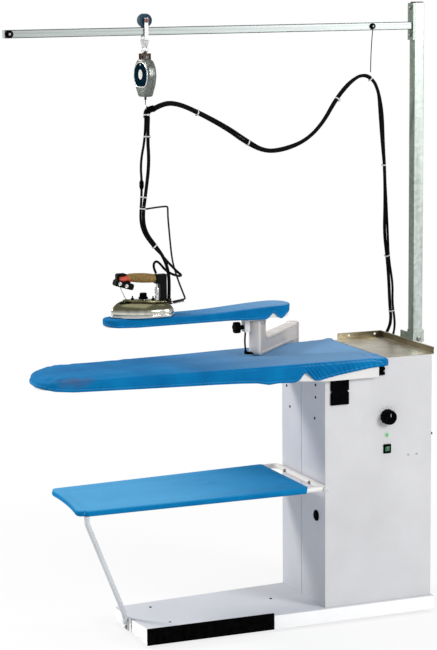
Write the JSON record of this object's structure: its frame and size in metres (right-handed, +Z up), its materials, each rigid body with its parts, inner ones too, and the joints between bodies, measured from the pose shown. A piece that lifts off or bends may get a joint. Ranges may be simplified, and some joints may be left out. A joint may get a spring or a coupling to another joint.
{
  "type": "ironing table with steam generator cabinet",
  "caption": "Ironing table on a cabinet with padded board, swinging sleeve board, garment shelf, and a steam iron hung from an overhead rail.",
  "frame": {"origin": "centre of the base's footprint on the floor, at the foot in its middle", "axes": "+X along the board away from its tip, towards the cabinet; +Y towards the back; +Z up"},
  "size_m": [1.434, 0.4683, 2.009],
  "materials": {
    "white_paint": "satin powder coat, near white",
    "grey_paint": "satin powder coat, light grey",
    "bluish_paint": "satin powder coat, bluish grey",
    "galvanised": "galvanised steel tube",
    "stainless": "stainless sheet, fine grain",
    "steel": "bright zinc plated steel",
    "cast_grey": "painted casting, light grey",
    "hammered": "hammered grey paint on a casting",
    "iron_metal": "polished cast aluminium",
    "brass_plate": "plated steel cover",
    "rubber": "matt black rubber",
    "black_plastic": "matt black plastic",
    "grey_plastic": "satin light plastic",
    "green_plastic": "glossy green plastic",
    "blue_cloth": "woven cotton cover over felt",
    "shelf_cloth": "woven polyester cloth",
    "cork": "turned cork",
    "dark_face": "glossy dark blue face",
    "copper": "boiler shell"
  },
  "bodies": {
    "frame": {"base_pan": "white_paint", "rubber_feet": "rubber", "pedal_rod": "steel", "pedal_spring": "steel", "cabinet_shell": "grey_paint", "side_panels": "bluish_paint", "back_panel": "grey_paint", "rear_glands": "black_plastic", "front_cover": "black_plastic", "side_grommet": "black_plastic", "pilot_lamp": "green_plastic", "rocker_bezel": "black_plastic", "worktop_tray": "stainless", "board_hull": "white_paint", "perforated_plate": "galvanised", "board_cover": "blue_cloth", "board_latch": "black_plastic", "sleeve_bracket": "white_paint", "post": "galvanised", "frame_brackets": "galvanised", "frame_bolts": "steel", "pan_screws": "steel", "rail": "galvanised", "rail_stops": "rubber", "hose_strap": "rubber", "boiler": "copper", "suction_fan": "galvanised", "shelf_frame": "galvanised", "shelf_cloth": "shelf_cloth", "shelf_leg": "galvanised", "steam_hose_a": "rubber", "iron_cable_a": "rubber"},
    "pedal": {"pedal_plate": "white_paint", "pedal_strip": "rubber"},
    "control_knob": {"control_knob": "grey_plastic"},
    "rocker": {"rocker": "green_plastic"},
    "sleeve_arm": {"sleeve_arm": "cast_grey"},
    "sleeve_board": {"sleeve_collar": "steel", "sleeve_hull": "white_paint", "sleeve_cover": "blue_cloth", "sleeve_lead": "rubber"},
    "clamp_knob": {"clamp_knob": "black_plastic"},
    "trolley": {"trolley_frame": "white_paint", "balancer_body": "hammered", "balancer_face": "dark_face", "balancer_wire": "steel", "hose_clamp": "rubber", "steam_hose_c": "rubber", "iron_cable_c": "rubber"},
    "trolley_wheel": {"trolley_wheel": "black_plastic"},
    "iron": {"iron_body": "iron_metal", "iron_top_plate": "brass_plate", "iron_handle": "cork", "iron_switch_block": "black_plastic", "iron_rear_post": "black_plastic", "iron_rod": "steel", "steam_hose_d": "rubber", "iron_cable_d": "rubber"},
    "iron_dial": {"iron_knob": "black_plastic"},
    "steam_button": {"iron_steam_button": "black_plastic"}
  },
  "joints": [
    {"name": "pedal_hinge", "type": "hinge", "parent": "frame", "child": "pedal", "pos_m": [-0.29, -0.012, 0.03], "axis": [1, 0, 0], "range_deg": [0, 3], "stiffness_Nm_per_rad": 30, "springref_deg": -8.59, "deforming": ["pedal_spring"]},
    {"name": "control_knob_turn", "type": "hinge", "parent": "frame", "child": "control_knob", "pos_m": [0.34, -0.17, 0.675], "axis": [0, 1, 0], "range_deg": [-135, 135]},
    {"name": "rocker_tilt", "type": "hinge", "parent": "frame", "child": "rocker", "pos_m": [0.34, -0.158, 0.568], "axis": [-1, 0, 0], "range_deg": [0, 20]},
    {"name": "sleeve_arm_swing", "type": "hinge", "parent": "frame", "child": "sleeve_arm", "pos_m": [0.175, 0.222, 0.9], "axis": [0, 0, 1], "range_deg": [-60, 45]},
    {"name": "sleeve_board_turn", "type": "hinge", "parent": "sleeve_arm", "child": "sleeve_board", "pos_m": [-0.0592, -0.0205, 1.01], "axis": [0, 0, 1], "range_deg": [-60, 60], "deforming": ["sleeve_lead"]},
    {"name": "clamp_knob_turn", "type": "hinge", "parent": "sleeve_board", "child": "clamp_knob", "pos_m": [-0.138, -0.035, 0.983], "axis": [1, 0, 0], "range_deg": [-180, 180]},
    {"name": "trolley_slide", "type": "slide", "parent": "frame", "child": "trolley", "axis": [1, 0, 0.0044], "range_m": [-0.12, 0.3], "deforming": ["steam_hose_a", "iron_cable_a", "steam_hose_c", "iron_cable_c"]},
    {"name": "wheel_spin", "type": "hinge", "parent": "trolley", "child": "trolley_wheel", "pos_m": [-0.422, 0.014, 1.96461], "axis": [0, 1, 0], "range_deg": [-340, 830]},
    {"name": "iron_lift", "type": "slide", "parent": "frame", "child": "iron", "axis": [0, 0, 1], "range_m": [0, 0.12], "deforming": ["steam_hose_d", "iron_cable_d", "iron_rod"]},
    {"name": "iron_dial_turn", "type": "hinge", "parent": "iron", "child": "iron_dial", "pos_m": [-0.457, -0.036, 1.11], "axis": [0, 0, 1], "range_deg": [-140, 140]},
    {"name": "steam_button_press", "type": "slide", "parent": "iron", "child": "steam_button", "axis": [0, 0, -1], "range_m": [0, 0.003], "stiffness_N_per_m": 300, "springref_m": -0.004}
  ],
  "couplings": [
    {"joint": "wheel_spin", "follows": "trolley_slide", "rad_per_m": 47.619}
  ]
}
